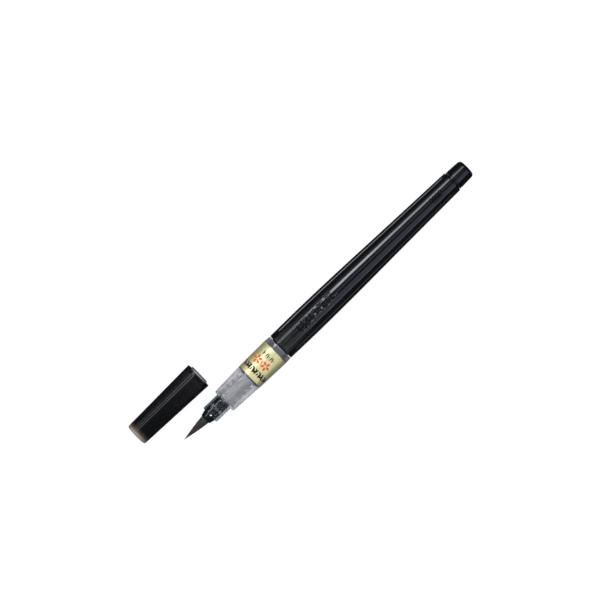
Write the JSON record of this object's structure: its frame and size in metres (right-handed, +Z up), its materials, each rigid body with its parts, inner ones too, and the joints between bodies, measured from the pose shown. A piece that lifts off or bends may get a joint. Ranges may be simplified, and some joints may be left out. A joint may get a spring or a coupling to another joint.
{
  "type": "brush pen",
  "caption": "Calligraphy brush pen with a hair tip, clear grip section, squeezable screw-on ink barrel and a pull-off cap lying beside it.",
  "frame": {"origin": "centre of the bounding box at its lowest level, on the surface that the pen and cap lie on", "axes": "+X along the pen towards its tail, +Y across towards the cap, +Z up"},
  "size_m": [0.1772, 0.0278, 0.013],
  "materials": {
    "brush_hair": "ink-stained synthetic hair",
    "ink_plastic": "gloss",
    "natural_plastic": "satin",
    "feed_fibre": "ink-soaked fibre",
    "black_plastic": "satin",
    "frosted_clear": "frosted translucent",
    "gold_foil": "metallised film",
    "seal_rubber": "matt",
    "black_gloss": "gloss",
    "ball_steel": "polished"
  },
  "bodies": {
    "grip": {"section_body": "frosted_clear", "label_band": "gold_foil", "ferrule": "ink_plastic", "tuft_root": "brush_hair", "feed_bush": "natural_plastic", "ink_feed": "feed_fibre", "flow_regulator": "black_plastic", "piercing_tube": "natural_plastic"},
    "tuft": {"brush_tuft": "brush_hair"},
    "gasket": {"gasket": "seal_rubber"},
    "cartridge": {"cartridge_body": "black_gloss", "mouth_insert": "natural_plastic", "tail_plug": "black_gloss"},
    "seal_ball": {"seal_ball": "ball_steel"},
    "cap": {"cap_shell": "black_gloss", "inner_cap": "natural_plastic"}
  },
  "joints": [
    {"name": "tuft_flex", "type": "hinge", "parent": "grip", "child": "tuft", "pos_m": [-0.0634, -0.00739, 0.00648], "axis": [0, 0, 1], "range_deg": [-15, 15], "stiffness_Nm_per_rad": 0.002},
    {"name": "gasket_advance", "type": "slide", "parent": "grip", "child": "gasket", "axis": [1, 0, 0], "range_m": [0, 0.00505]},
    {"name": "cartridge_turn", "type": "hinge", "parent": "gasket", "child": "cartridge", "pos_m": [0, -0.00739, 0.00648], "axis": [1, 0, 0], "range_deg": [0, 720]},
    {"name": "ball_and_cap_run", "type": "slide", "parent": "grip", "child": "seal_ball", "axis": [1, 0, 0], "range_m": [0, 0.0454]},
    {"name": "cap_pull", "type": "slide", "parent": "seal_ball", "child": "cap", "axis": [-0.9495, -0.3137, 0.0089], "range_m": [0, 0.04845]}
  ],
  "couplings": [
    {"joint": "gasket_advance", "follows": "cartridge_turn", "m_per_rad": 0.00039789}
  ]
}
